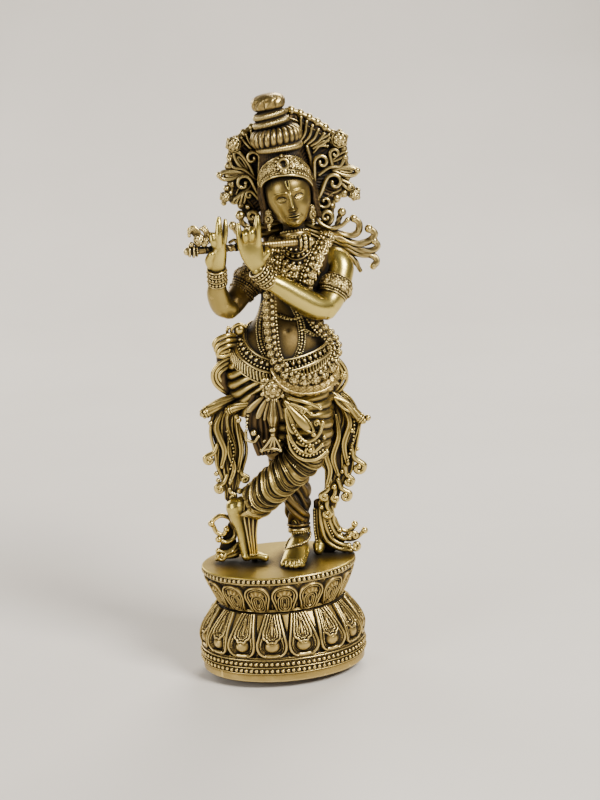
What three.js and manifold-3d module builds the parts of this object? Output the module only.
// A small cast-brass deity figurine, playing a flute on a double-lotus pedestal.
// Millimetres, +Z up, origin at the middle of the pedestal's underside, the figure faces -Y.
// "left" and "right" are the figure's own sides: its left is towards +X.
import * as THREE from "three";
import { mergeVertices } from "three/addons/utils/BufferGeometryUtils.js";
import Module from "manifold-3d";

const wasm = await Module();
wasm.setup();

// ---------------------------------------------------------------- driving dimensions
const HEIGHT = 165; // top of the crown above the table
const OVAL = 0.75; // depth of the pedestal over its width
const BASE_HALF = 24.2; // half width of the pedestal at the table
const NECK_HALF = 17.6; // half width where the two lotus castings meet
const TOP_HALF = 22.8; // half width of the platform
const NECK_Z = 19.4;
const BOWL_TOP_Z = 29.6;
const FLOOR_Z = 31; // top of the platform, where the feet stand
const WALL = 2; // wall of the two hollow lotus castings
const PLATE_THICK = 1.2; // cover that closes the underside
const PETALS = 16;
const GAP = 0.25; // solder gap that every piece keeps to its neighbours
const WELD = 1e-3; // corners closer than this are one corner
const PIN_R = 0.9; // pins under the feet
const PIN_BELOW = 4; // how far a pin hangs under the platform's top
const PIN_ABOVE = 1.2; // how far it reaches up into the sole
const FLUTE_R = 1.3;
const LOBE_RISE = 2.2; // how far a plume's lobe stands out of its arc
const PLUME_Y = 4.4; // front face of the plumes, behind the head
const PLUME_THICK = 2.4;
const ANKLET_BAR = 0.6;

// Landmarks of the pose, named once and used by every piece that meets there.
const at = (x, y, z) => new THREE.Vector3(x, y, z);
const SHOULDER_LEFT = at(21.6, 0.5, 119);
const ELBOW_LEFT = at(17, -6, 106);
const WRIST_LEFT = at(0.2, -11.2, 116.2);
const SHOULDER_RIGHT = at(1, 3, 118.6);
const ELBOW_RIGHT = at(-10, -4.6, 107);
const WRIST_RIGHT = at(-11.8, -11, 117.8);
const FLUTE_FOOT = at(-20, -13, 124.8);
const FLUTE_HEAD = at(13.2, -9, 124.8);
const HEAD_LEAN = at(-0.16, -0.02, 0.99).normalize(); // crown's axis, leaning to the figure's right
const HEAD = at(9, -0.2, 136.6);
const TIARA = at(8.6, -0.4, 145);
const TURBAN = at(6.8, 0.5, 151.6);
const CROWN_RINGS = [at(5.9, 0.8, 155.2), at(5.6, 0.8, 157.2)];
const CROWN_TOP = at(5.1, 0.9, HEIGHT - 4.4);
const HIPS = at(5.6, 1, 86);
const KNEE_LEFT = at(12.4, -6, 63);
const ANKLE_LEFT = at(-8.4, -1.4, 46);
const ANKLE_RIGHT = at(6.9, 2.4, 40);

// ---------------------------------------------------------------- shape helpers
const BRASS = { color: 0xb08d3e, metalness: 1, roughness: 0.34 };
const DARK_BRASS = { color: 0x6e5526, metalness: 1, roughness: 0.5 };

// A closed three.js geometry as a manifold-3d solid.
function solidOf(geometry) {
  const bare = geometry.clone();
  bare.deleteAttribute("normal");
  bare.deleteAttribute("uv");
  const merged = mergeVertices(bare, WELD);
  const index = merged.index.array;
  const kept = [];
  for (let i = 0; i < index.length; i += 3) {
    const [a, b, c] = [index[i], index[i + 1], index[i + 2]];
    if (a !== b && b !== c && c !== a) kept.push(a, b, c);
  }
  return new wasm.Manifold(
    new wasm.Mesh({
      numProp: 3,
      vertProperties: new Float32Array(merged.attributes.position.array),
      triVerts: new Uint32Array(kept),
    }),
  );
}

// A solid's vertices and triangles as a three.js geometry.
function geometryOf(solid) {
  const mesh = solid.getMesh();
  const count = mesh.numVert;
  const positions = new Float32Array(count * 3);
  for (let i = 0; i < count; i++) {
    positions.set(mesh.vertProperties.subarray(i * mesh.numProp, i * mesh.numProp + 3), i * 3);
  }
  const geometry = new THREE.BufferGeometry();
  geometry.setAttribute("position", new THREE.BufferAttribute(positions, 3));
  geometry.setIndex(new THREE.BufferAttribute(new Uint32Array(mesh.triVerts), 1));
  geometry.computeVertexNormals();
  return geometry;
}

// The same solid with its skin moved out by a distance, to cut its neighbours with.
function grown(solid, distance) {
  const geometry = geometryOf(solid);
  const position = geometry.attributes.position;
  const normal = geometry.attributes.normal;
  for (let i = 0; i < position.count; i++) {
    position.setXYZ(
      i,
      position.getX(i) + normal.getX(i) * distance,
      position.getY(i) + normal.getY(i) * distance,
      position.getZ(i) + normal.getZ(i) * distance,
    );
  }
  return solidOf(geometry);
}

const largest = (solid) => solid.decompose().sort((a, b) => b.volume() - a.volume())[0];

// One clean body: slivers left by the cuts are dropped and close corners welded.
const tidied = (solid) => largest(solidOf(geometryOf(largest(solid))));

// A closed geometry as a solid, turned inside out if its faces point in.
function facingOut(geometry) {
  const made = solidOf(geometry);
  if (made.volume() > 0) return made;
  const index = geometry.index.array;
  for (let i = 0; i < index.length; i += 3) [index[i], index[i + 1]] = [index[i + 1], index[i]];
  return solidOf(geometry);
}

// Oval sections skinned along a smooth curve. A station is [place, half width, half depth],
// and the half depth points along "front".
function limb(stations, { sides = 8, steps = 7, front = at(0, -1, 0), round = true } = {}) {
  const spine = new THREE.CatmullRomCurve3(stations.map((s) => s[0]), false, "centripetal");
  const sizes = new THREE.SplineCurve(stations.map((s) => new THREE.Vector2(s[1], s[2] ?? s[1])));
  const ends = round ? [[0, 0], [0.72, 0.025]] : [[0, 0], [1, 0]];
  const profile = ends.map(([f, t]) => new THREE.Vector2(f, t));
  for (let i = 1; i < steps; i++) profile.push(new THREE.Vector2(1, i / steps));
  for (const [f, t] of [...ends].reverse()) profile.push(new THREE.Vector2(f, 1 - t));
  const unit = new THREE.LatheGeometry(profile, sides);
  const position = unit.attributes.position;
  for (let i = 0; i < position.count; i++) {
    const t = Math.min(1, Math.max(0, position.getY(i)));
    const centre = spine.getPoint(t);
    const tangent = spine.getTangent(t);
    const side = new THREE.Vector3().crossVectors(tangent, front).normalize();
    const ahead = new THREE.Vector3().crossVectors(side, tangent).normalize();
    const size = sizes.getPoint(t);
    const place = centre
      .addScaledVector(side, position.getX(i) * size.x)
      .addScaledVector(ahead, position.getZ(i) * size.y);
    position.setXYZ(i, place.x, place.y, place.z);
  }
  return facingOut(unit);
}

// A geometry turned so that its own +Y lies along "axis", then moved to "place".
function turned(geometry, place, axis = at(0, 0, 1), scale = at(1, 1, 1)) {
  const turn = new THREE.Quaternion().setFromUnitVectors(at(0, 1, 0), axis.clone().normalize());
  return solidOf(geometry.clone().applyMatrix4(new THREE.Matrix4().compose(place, turn, scale)));
}

// A round bar bent into a ring about "axis"; wide and deep are its two half sizes.
function ring(place, axis, wide, deep, bar, high = bar, segments = 12) {
  const torus = new THREE.TorusGeometry(1, bar / Math.max(wide, deep), 5, segments).rotateX(Math.PI / 2);
  const flat = (high / bar) * Math.max(wide, deep);
  return turned(torus, place, axis, at(wide, flat, deep));
}

const ball = (place, rx, ry = rx, rz = rx, wide = 10, high = 6) =>
  solidOf(new THREE.SphereGeometry(1, wide, high).scale(rx, ry, rz).translate(place.x, place.y, place.z));

const rod = (place, axis, radius, length, sides = 12) =>
  turned(new THREE.CylinderGeometry(radius, radius, length, sides), place, axis);

const joined = (...solids) => solids.reduce((all, one) => all.add(one));

// A tapering tendril that runs from "start" and rolls up into a spiral of radius "curl" in the XZ plane.
function tendril(start, knot, curl, turn, bar, turns = 0.8, steps = 7) {
  const towards = Math.atan2(start.z - knot.z, start.x - knot.x);
  const stations = [[start, bar]];
  const count = 5;
  for (let i = 0; i <= count; i++) {
    const share = i / count;
    const angle = towards + turn * (0.6 + share * turns * 2 * Math.PI);
    const reach = curl * (1 - 0.55 * share);
    const place = at(knot.x + reach * Math.cos(angle), knot.y, knot.z + reach * Math.sin(angle));
    stations.push([place, bar * (1 - 0.25 * share)]);
  }
  return limb(stations, { sides: 5, steps, front: at(0, -1, 0) });
}

// ---------------------------------------------------------------- the assembly
const figurine = new THREE.Group();
const placed = [];

// Adds a piece, cut back by the solder gap wherever it meets a piece that is already there.
function piece(name, group, solid, look = BRASS) {
  const skins = placed.filter((skin) => solid.intersect(skin).volume() > 0);
  const own = tidied(skins.reduce((left, skin) => left.subtract(skin), solid));
  placed.push(solid.add(grown(solid, GAP)));
  const mesh = new THREE.Mesh(geometryOf(own), new THREE.MeshStandardMaterial(look));
  mesh.name = name;
  group.add(mesh);
}

function subgroup() {
  const group = new THREE.Group();
  figurine.add(group);
  return group;
}

// ---------------------------------------------------------------- pedestal
// A turned oval shell whose outside swells into petals between two heights.
function lotusShell(outline, petalsFrom, petalsTo, swell) {
  const shell = new THREE.LatheGeometry(outline.map(([r, z]) => new THREE.Vector2(r, z)), PETALS * 2);
  shell.rotateX(Math.PI / 2);
  const position = shell.attributes.position;
  for (let i = 0; i < position.count; i++) {
    const [x, y, z] = [position.getX(i), position.getY(i), position.getZ(i)];
    const radius = Math.hypot(x, y);
    const share = (z - petalsFrom) / (petalsTo - petalsFrom);
    const outside = radius > NECK_HALF - 0.5 && share > 0 && share < 1;
    const lobe = Math.abs(Math.cos((Math.atan2(y, x) * PETALS) / 2));
    const grow = outside ? 1 + (swell * lobe * Math.sin(Math.PI * share)) / radius : 1;
    position.setXYZ(i, x * grow, y * grow * OVAL, z);
  }
  return facingOut(shell);
}

const LOWER_OUTLINE = [
  [0, NECK_Z - WALL],
  [NECK_HALF - 2, NECK_Z - WALL],
  [20.4, 12.5],
  [BASE_HALF - WALL, 6.5],
  [BASE_HALF - WALL, 0],
  [BASE_HALF, 0],
  [BASE_HALF, 6.6],
  [BASE_HALF - 0.8, 7.4],
  [BASE_HALF - 0.9, 11],
  [21.9, 14.6],
  [19.6, 17.6],
  [NECK_HALF, NECK_Z - 0.4],
  [NECK_HALF, NECK_Z],
  [0, NECK_Z],
];
const UPPER_OUTLINE = [
  [0, NECK_Z],
  [NECK_HALF - 0.4, NECK_Z],
  [NECK_HALF + 0.2, 20.6],
  [19.2, 23],
  [20.6, 26],
  [TOP_HALF - 1.2, 28.4],
  [TOP_HALF - 0.8, BOWL_TOP_Z],
  [TOP_HALF - 0.8 - WALL, BOWL_TOP_Z],
  [17.4, 24],
  [15.6, NECK_Z + WALL],
  [0, NECK_Z + WALL],
];

const pedestal = subgroup();
const plateHalf = BASE_HALF - WALL - GAP;
const plateDisc = new THREE.CylinderGeometry(1, 1, PLATE_THICK, 32);
const plateSize = at(plateHalf, 1, plateHalf * OVAL);
const basePlate = turned(plateDisc, at(0, 0, PLATE_THICK / 2), at(0, 0, 1), plateSize);
const PIN_PLACES = [at(5.6, -3, 0), at(-7, 0.6, 0)];
const upright = (place, radius, length) => rod(place, at(0, 0, 1), radius, length, 8);
const pinHoles = PIN_PLACES.map((p) => upright(at(p.x, p.y, FLOOR_Z), PIN_R + GAP, 4 * PIN_BELOW));
const PLATFORM_OUTLINE = [
  [0, BOWL_TOP_Z],
  [TOP_HALF - 0.7, BOWL_TOP_Z],
  [TOP_HALF, BOWL_TOP_Z + 0.5],
  [TOP_HALF, FLOOR_Z - 0.3],
  [TOP_HALF - 0.4, FLOOR_Z],
  [0, FLOOR_Z],
];
piece("lower_lotus", pedestal, lotusShell(LOWER_OUTLINE, 7.3, 18.6, 1.1));
piece("base_plate", pedestal, basePlate, DARK_BRASS);
piece("upper_lotus", pedestal, lotusShell(UPPER_OUTLINE, 20, 28.6, 0.9));
const platform = lotusShell(PLATFORM_OUTLINE, 0, FLOOR_Z, 0);
piece("platform", pedestal, pinHoles.reduce((left, hole) => left.subtract(hole), platform));

// ---------------------------------------------------------------- body and legs
const body = subgroup();
["right_foot_pin", "left_foot_pin"].forEach((name, i) => {
  const length = PIN_BELOW + PIN_ABOVE;
  const middle = FLOOR_Z - PIN_BELOW + length / 2;
  piece(name, body, upright(PIN_PLACES[i].clone().setZ(middle), PIN_R, length), DARK_BRASS);
});
piece("torso", body, limb([
  [at(5.6, 1.4, 91), 8.6, 6],
  [at(6.2, 1.4, 99), 7.6, 5.4],
  [at(8, 1.4, 107), 8.4, 5.6],
  [at(10.2, 1.2, 116), 9.6, 6],
  [at(10.8, 1.4, 121), 10, 4.8],
  [at(10.4, 0.8, 125), 4, 3.6],
  [at(10, 0.4, 128.6), 3.3, 3.3],
], { sides: 12, steps: 9 }));
piece("hip_cloth", body, joined(
  limb([
    [at(5.2, 1, 97.4), 10.4, 7],
    [at(5.2, 1, 91), 13.4, 9],
    [HIPS, 14, 9.6],
    [at(6.2, 0.6, 79), 13, 8.4],
    [at(7, 0.4, 74), 8, 6],
  ], { sides: 12, steps: 7 }),
  limb([
    [at(-3, -6.6, 82), 5.4, 2.6],
    [at(-4, -6, 74), 4.8, 2.4],
    [at(-2, -4.8, 64), 3.6, 1.8],
  ], { steps: 4 }),
));
piece("left_leg", body, limb([
  [at(12.6, -1.6, 82), 7.6],
  [at(13.8, -4.8, 73), 7.4],
  [KNEE_LEFT, 7],
  [at(5, -5.8, 57.4), 6.2],
  [at(-1.4, -4.6, 52.6), 5.2],
  [at(-5.4, -3, 48.8), 4.1],
  [ANKLE_LEFT, 3],
], { sides: 10, steps: 10 }));
piece("right_leg", body, limb([
  [at(0.8, 3, 80), 6.8],
  [at(2, 4, 70), 6],
  [at(4.4, 4.8, 60), 5],
  [at(6.8, 4.2, 50), 4.2],
  [ANKLE_RIGHT, 3],
], { sides: 10, steps: 8 }));
piece("right_foot", body, joined(
  limb([
    [at(6.6, 4.4, 33.2), 2.6, 3.2],
    [at(6.3, 0.4, 34.4), 2.9, 3.6],
    [at(5, -4.4, 33), 3.2, 2.6],
    [at(3.7, -9, 32), 3.3, 1.5],
    [at(3.4, -11, 31.7), 2.6, 1],
  ], { front: at(0, 0, 1), steps: 6 }),
  limb([[at(6.8, 3, 34), 2.6], [ANKLE_RIGHT, 2.8]], { steps: 2 }),
));
piece("left_foot", body, joined(
  limb([
    [at(-11, 0.6, 48), 2.2, 2.4],
    [at(-10, 0.2, 44), 2.8, 2.6],
    [at(-8.8, 0, 38), 2.5, 2.5],
    [at(-8, 0, 32.8), 2.3, 2.8],
  ], { steps: 5 }),
  limb([
    [at(-8.4, 0, 32.6), 2.1, 2.8],
    [at(-6, -0.2, 32.4), 1.7, 2.6],
    [at(-3.8, -0.6, 32.2), 1.1, 2.2],
  ], { steps: 3 }),
));

// ---------------------------------------------------------------- head and crown
const head = subgroup();
const EARS = [at(2.9, -1.4, 130.8), at(15.6, -1, 131.4)];
piece("head", head, joined(
  ball(HEAD, 6.4, 7.2, 8.6, 12, 8),
  limb([[at(10.2, -0.2, 126.5), 3], [at(9.8, 0, 132), 3.4]], { steps: 2 }),
));
piece("hair", head, joined(
  ball(HEAD.clone().add(at(-0.6, 2.6, 3.4)), 7.4, 6.2, 7.4),
  limb([[at(3, 2.6, 141), 2], [at(1.4, 2.4, 133), 2.6], [at(0.8, 3.2, 126), 2.4]], { steps: 4 }),
  limb([[at(14.8, 2.8, 141), 2], [at(16.8, 2.6, 133), 2.6], [at(17.4, 3.4, 127), 2.2]], { steps: 4 }),
), DARK_BRASS);
piece("tiara", head, limb([
  [TIARA.clone().addScaledVector(HEAD_LEAN, -3), 7.3, 8],
  [TIARA, 7.1, 7.8],
  [TIARA.clone().addScaledVector(HEAD_LEAN, 4.4), 5.4, 6],
], { sides: 12, steps: 2, round: false }));
piece("turban_roll", head, ring(TURBAN, HEAD_LEAN, 4.8, 4.8, 2.3, 2.4));
piece("crown_core", head, rod(at(6.2, 0.7, 154.4), HEAD_LEAN, 3.7, 9, 10));
["crown_ring_lower", "crown_ring_upper"].forEach((name, i) => {
  piece(name, head, ring(CROWN_RINGS[i], HEAD_LEAN, 4.4 - 0.2 * i, 4.4 - 0.2 * i, 0.9, 0.95));
});
const domeBall = new THREE.SphereGeometry(1, 12, 7);
piece("crown_dome", head, turned(domeBall, CROWN_TOP, HEAD_LEAN, at(5.1, 4.3, 4.9)));
["right_earring", "left_earring"].forEach((name, i) => {
  piece(name, head, ring(EARS[i], at(1, 0, 0), 1.9, 1.9, 0.8, 0.8, 9));
});

// ---------------------------------------------------------------- arms, hands and flute
const arms = subgroup();
piece("left_upper_arm", arms, limb([
  [at(18, 1.2, 121), 3.6],
  [SHOULDER_LEFT, 4.3],
  [at(21.4, -2.4, 113), 4.1],
  [ELBOW_LEFT.clone().add(at(1.4, 0.4, 0.4)), 3.7],
], { steps: 6 }));
piece("left_forearm", arms, limb([
  [ELBOW_LEFT.clone().add(at(0.4, -0.2, -0.6)), 3.6],
  [at(10.6, -8.4, 108.8), 3.7],
  [at(5, -10, 112.6), 3.1],
  [WRIST_LEFT, 2.5],
], { steps: 6, front: at(0, -1, 0.4) }));
piece("right_upper_arm", arms, limb([
  [at(4, 2.6, 121), 3.4],
  [SHOULDER_RIGHT, 4],
  [at(-5, 0, 111.6), 3.7],
  [ELBOW_RIGHT.clone().add(at(0.8, 0.6, 0)), 3.4],
], { steps: 6 }));
piece("right_forearm", arms, limb([
  [ELBOW_RIGHT.clone().add(at(-0.4, -0.4, -0.6)), 3.1],
  [at(-12, -8, 111.6), 3.1],
  [WRIST_RIGHT, 2.4],
], { steps: 6 }));
const fluteAxis = FLUTE_HEAD.clone().sub(FLUTE_FOOT).normalize();
const along = (share) => FLUTE_FOOT.clone().lerp(FLUTE_HEAD, share);
piece("flute", arms, rod(along(0.5), fluteAxis, FLUTE_R, FLUTE_FOOT.distanceTo(FLUTE_HEAD), 10));
const finger = (...stations) => limb(stations, { sides: 6, steps: 3 });
piece("left_hand", arms, joined(
  limb([
    [WRIST_LEFT, 2.4, 1.9],
    [at(-2, -12.4, 120.6), 3, 1.9],
    [at(-3.6, -12.9, 125.6), 3.2, 1.6],
  ], { steps: 5 }),
  finger([at(-2, -12.9, 125.4), 1.1], [at(-1.6, -13.4, 129.4), 0.9], [at(-1, -13.5, 132.7), 0.7]),
  finger([at(-5.4, -12.8, 124.6), 1], [at(-5.8, -13.2, 128), 0.85], [at(-5.8, -13, 131.1), 0.65]),
  finger(
    [at(-3.8, -13, 125.8), 1.5, 1],
    [at(-3.6, -14.4, 127.8), 1.4, 0.9],
    [at(-3.6, -13.8, 129), 1.2, 0.8],
  ),
));
piece("right_hand", arms, joined(
  limb([
    [WRIST_RIGHT, 2, 2.2],
    [at(-11, -12.2, 121.7), 2.1, 2.8],
    [at(-10.8, -13, 127), 1.7, 2.6],
  ], { steps: 5 }),
  finger([at(-11.2, -14.4, 126), 1], [at(-11.9, -14.6, 130), 0.9], [at(-11.9, -14, 133.2), 0.7]),
  finger([at(-10.2, -13.2, 127), 1], [at(-9.8, -13.2, 130.6), 0.9], [at(-9.7, -13, 133.2), 0.7]),
  finger([at(-9.8, -11.6, 126), 0.9], [at(-8.6, -11.6, 129), 0.8], [at(-8, -11.4, 131.4), 0.6]),
));
piece("flute_head_ring", arms, ring(along(0.97), fluteAxis, FLUTE_R + 0.7, FLUTE_R + 0.7, 0.8, 0.9, 9));
piece("flute_foot_ring", arms, ring(along(0.04), fluteAxis, FLUTE_R + 0.6, FLUTE_R + 0.6, 0.8, 1.1, 9));
piece("flute_charm", arms, joined(
  ball(at(-17, -13, 127.6), 2.2, 1.3, 1.9, 8, 6),
  tendril(at(-17, -13, 128.6), at(-19, -13, 130), 1.3, 1, 0.6),
  tendril(at(-16.6, -13, 128.4), at(-15, -13, 129.8), 1, -1, 0.5),
));
const leftCuff = WRIST_LEFT.clone().sub(ELBOW_LEFT).normalize();
const rightCuff = WRIST_RIGHT.clone().sub(ELBOW_RIGHT).normalize();
const behindWrist = (wrist, cuff, back) => wrist.clone().addScaledVector(cuff, -back);
piece("left_bangles", arms, ring(behindWrist(WRIST_LEFT, leftCuff, 0.4), leftCuff, 3.3, 3.3, 0.9, 1.8));
piece("right_bangles", arms, ring(behindWrist(WRIST_RIGHT, rightCuff, 0.6), rightCuff, 3, 3, 0.9, 1.5));
piece("left_armlet", arms, ring(at(20.9, -3.2, 111), at(0.2, 0.3, 1), 4.7, 4.7, 0.9, 2));
piece("right_armlet", arms, ring(at(-3.2, 0.8, 113.4), at(0.5, 0.4, 1), 4.5, 4.5, 0.8, 1.8));

// ---------------------------------------------------------------- jewellery on the body
const jewels = subgroup();
piece("collar", jewels, joined(
  limb([
    [at(10.6, 0.4, 117.6), 9, 7.4],
    [at(10.6, 0.4, 120.6), 8.4, 7],
    [at(10.2, 0.2, 124), 5, 5],
  ], { sides: 12, steps: 2, round: false }),
  ball(at(9, -6, 114.6), 3.4, 1.8, 4.6, 8, 6),
));
piece("waist_belt", jewels, ring(at(5.4, 1.2, 97.2), at(-0.12, 0.1, 1), 10.4, 7.4, 0.9, 1.5, 16));
piece("hip_belt", jewels, ring(at(5.2, 0.8, 90.4), at(0.1, 0.2, 1), 13.9, 10, 1.1, 2.2, 18));
piece("belt_brooch", jewels, ball(at(0.6, -10.6, 85), 3.4, 1.8, 3, 8, 6));
const GARLAND = [
  at(4, 3.4, 124.6), at(3.4, -4.8, 123.6), at(1.2, -7.2, 116), at(0.2, -8, 106),
  at(0.8, -9, 97), at(3, -11.2, 90), at(7.8, -12.4, 85.4), at(13, -12, 85),
  at(18.4, -10, 88), at(20.2, -8, 92.6), at(18.6, -6.4, 98), at(16.2, -5.4, 103),
  at(15.6, -5.4, 112), at(15.8, -5.4, 119), at(15.2, -4.4, 123.6), at(14.6, 3.2, 124.6),
];
const inward = (p) => p.clone().lerp(at(10, p.y, 102), 0.11).add(at(0, -0.3, 0));
const strand = (points, bar, steps) =>
  limb(points.map((p) => [p, bar]), { sides: 6, steps, front: at(0, -1, 0.3) });
piece("garland_outer_strand", jewels, strand(GARLAND, 1.25, 26));
piece("garland_inner_strand", jewels, strand(GARLAND.map(inward), 1.05, 24));
piece("right_anklet", jewels, ring(at(6.9, 2.6, 38.4), at(0, 0.1, 1), 3.4, 3.4, ANKLET_BAR, 0.9));

// ---------------------------------------------------------------- sashes and drapes
const drapes = subgroup();
piece("front_tassel", drapes, limb([
  [at(1.2, -9.8, 82.4), 1.6],
  [at(1.4, -10, 77), 2.1],
  [at(1, -9, 71), 1.5],
  [at(-0.4, -7.6, 64), 3.4, 1.5],
], { steps: 6 }));
piece("thigh_swag", drapes, limb([
  [at(5.4, -9.6, 80), 3, 1.6],
  [at(8, -11.8, 74), 5, 1.8],
  [at(11, -13, 68.6), 4.6, 1.5],
  [at(13, -13, 65.4), 2.6, 1.2],
], { steps: 5 }));
piece("right_sash_bow", drapes, limb([
  [at(-6, 0, 97.6), 1.8],
  [at(-11.4, 0, 95), 2.8],
  [at(-14, 0.4, 90), 2.6],
  [at(-12, 0.6, 84), 2.6],
  [at(-7, 0.8, 80), 3],
], { steps: 6 }));
piece("left_sash_bow", drapes, limb([
  [at(17, 1, 92), 2.4],
  [at(21, 1, 89.4), 2.4],
  [at(22.2, 1, 84.4), 2.4],
  [at(18.6, 1.4, 79), 3],
], { steps: 5 }));
piece("right_sash_drape", drapes, joined(
  limb([
    [at(-8.4, 0.8, 80.4), 3, 2.2],
    [at(-13, 0.8, 75), 4, 2],
    [at(-13.2, 0.4, 67), 4.2, 1.8],
    [at(-11.6, 0.4, 60), 3.6, 1.6],
    [at(-13.6, 0.4, 53), 2.2, 1.4],
    [at(-15.4, 1.6, 45), 1.8, 1.4],
  ], { steps: 8 }),
  tendril(at(-14.6, 0.4, 67), at(-17.4, 0.4, 63), 1.7, 1, 0.9),
  tendril(at(-13, 0.4, 59), at(-16.4, 0.4, 57.4), 1.5, 1, 0.8),
  limb([[at(-9.4, 0.4, 79.6), 1.8], [at(-14, -0.2, 78.4), 1.7], [at(-18.4, -0.6, 76.4), 1.2]], { steps: 3 }),
));
piece("left_sash_drape", drapes, joined(
  limb([
    [at(18.6, 1.2, 80), 3, 2.2],
    [at(21.4, 0.8, 74), 3.6, 2],
    [at(21, 0.4, 66), 4.4, 1.8],
    [at(18.4, 0.4, 58), 3.8, 1.7],
    [at(17.6, 0.8, 50), 2.8, 1.5],
    [at(16.8, 1.4, 43.6), 2, 1.5],
  ], { steps: 8 }),
  tendril(at(22.4, 0.4, 63), at(25.2, 0.4, 57), 1.8, -1, 0.9),
  tendril(at(18.8, 0.6, 55), at(21.8, 0.4, 49.6), 1.6, -1, 0.8),
  limb([[at(20, 1, 80), 1.9], [at(24.4, 0, 75.6), 1.9], [at(27.2, -0.8, 70.4), 1.3]], { steps: 3 }),
));
piece("left_foot_scroll", drapes, joined(
  limb([
    [at(16.6, 1.6, 44), 2.2, 1.5],
    [at(15.8, 2.4, 39.6), 3.2, 1.8],
    [at(17, 3, 34), 4, 2.2],
    [at(17.6, 3, 30.4), 3.8, 2.2],
  ], { steps: 5 }),
  tendril(at(18, 2.4, 36), at(23.6, 2, 39.4), 2.4, -1, 0.9),
  limb([[at(17, 2.6, 33), 1.5], [at(21.6, 1.4, 33.4), 1.4], [at(26, 1, 36.8), 1]], { steps: 3 }),
));
piece("right_foot_scroll", drapes, joined(
  limb([
    [at(-14.6, 3.2, 30.4), 2.8, 2],
    [at(-14.8, 3, 35), 2.6, 1.6],
    [at(-15.4, 2, 43), 1.8, 1.4],
  ], { steps: 4 }),
  tendril(at(-15, 2.6, 38), at(-17, 2.2, 42.6), 2, 1, 0.9),
));

// ---------------------------------------------------------------- plumes and locks behind the figure
// A flat plate cut to an outline in the XZ plane, whose front face is at "y".
function plate(shape, y, thick) {
  const cut = new THREE.ExtrudeGeometry(shape, { depth: thick, bevelEnabled: false, curveSegments: 2 });
  cut.rotateX(Math.PI / 2);
  return solidOf(cut.translate(0, y + thick, 0));
}

// A fan whose edge is a row of equal lobes along an arc about "middle".
function fan(middle, reach, fromDegrees, toDegrees, lobes) {
  const shape = new THREE.Shape();
  const edge = (degrees, out) => {
    const angle = THREE.MathUtils.degToRad(degrees);
    return [middle.x + (reach + out) * Math.cos(angle), middle.z + (reach + out) * Math.sin(angle)];
  };
  const lobe = (toDegrees - fromDegrees) / lobes;
  shape.moveTo(middle.x, middle.z);
  shape.lineTo(...edge(fromDegrees, 0));
  for (let i = 0; i < lobes; i++) {
    const start = fromDegrees + i * lobe;
    shape.quadraticCurveTo(...edge(start + lobe / 2, LOBE_RISE), ...edge(start + lobe, 0));
  }
  shape.closePath();
  return shape;
}
const plumes = subgroup();
piece("right_plume", plumes, plate(fan(at(8, 0, 141), 15.8, 100, 200, 7), PLUME_Y, PLUME_THICK));
piece("left_plume", plumes, plate(fan(at(10.4, 0, 141.5), 17, -24, 88, 8), PLUME_Y, PLUME_THICK));
piece("back_plume", plumes, plate(fan(at(9.4, 0, 141), 15.4, -4, 184, 10), PLUME_Y + PLUME_THICK, 2));
piece("left_shoulder_locks", plumes, joined(
  limb([[at(14.6, 4.6, 127), 2.6], [at(21, 4.8, 125.6), 3], [at(27.6, 4.4, 121), 2.2]], { steps: 4 }),
  tendril(at(19, 4.6, 126), at(24.4, 4, 129.6), 2, -1, 0.9),
  tendril(at(23, 4.4, 124), at(30.4, 3.6, 123.6), 2.2, -1, 0.9),
  tendril(at(26, 4.4, 121), at(31.4, 3.6, 116), 2.2, -1, 0.9),
  tendril(at(24, 4.4, 121), at(27, 3.6, 115.6), 1.6, 1, 0.8),
));
piece("right_shoulder_locks", plumes, joined(
  limb([[at(4, 5, 126.6), 2.4], [at(-0.6, 5, 127.6), 2.6], [at(-4.6, 4.8, 128), 1.8]], { steps: 3 }),
  tendril(at(-1, 5, 128), at(-4.4, 4.6, 132.6), 1.6, 1, 0.8),
));
piece("back_locks", plumes, limb([
  [at(9.4, 7.6, 133), 7, 2.4],
  [at(9.6, 8, 124), 8, 2],
  [at(9.4, 7.8, 114), 6, 1.6],
  [at(8.8, 7.4, 107), 3, 1.2],
], { steps: 5 }), DARK_BRASS);
piece("back_sash", plumes, limb([
  [at(5.4, 10.4, 93), 7, 1.6],
  [at(5.4, 11, 82), 8.4, 1.6],
  [at(5.6, 10.6, 72), 7, 1.8],
  [at(6, 9.6, 62), 4.4, 1.6],
], { steps: 5 }));

export default figurine;
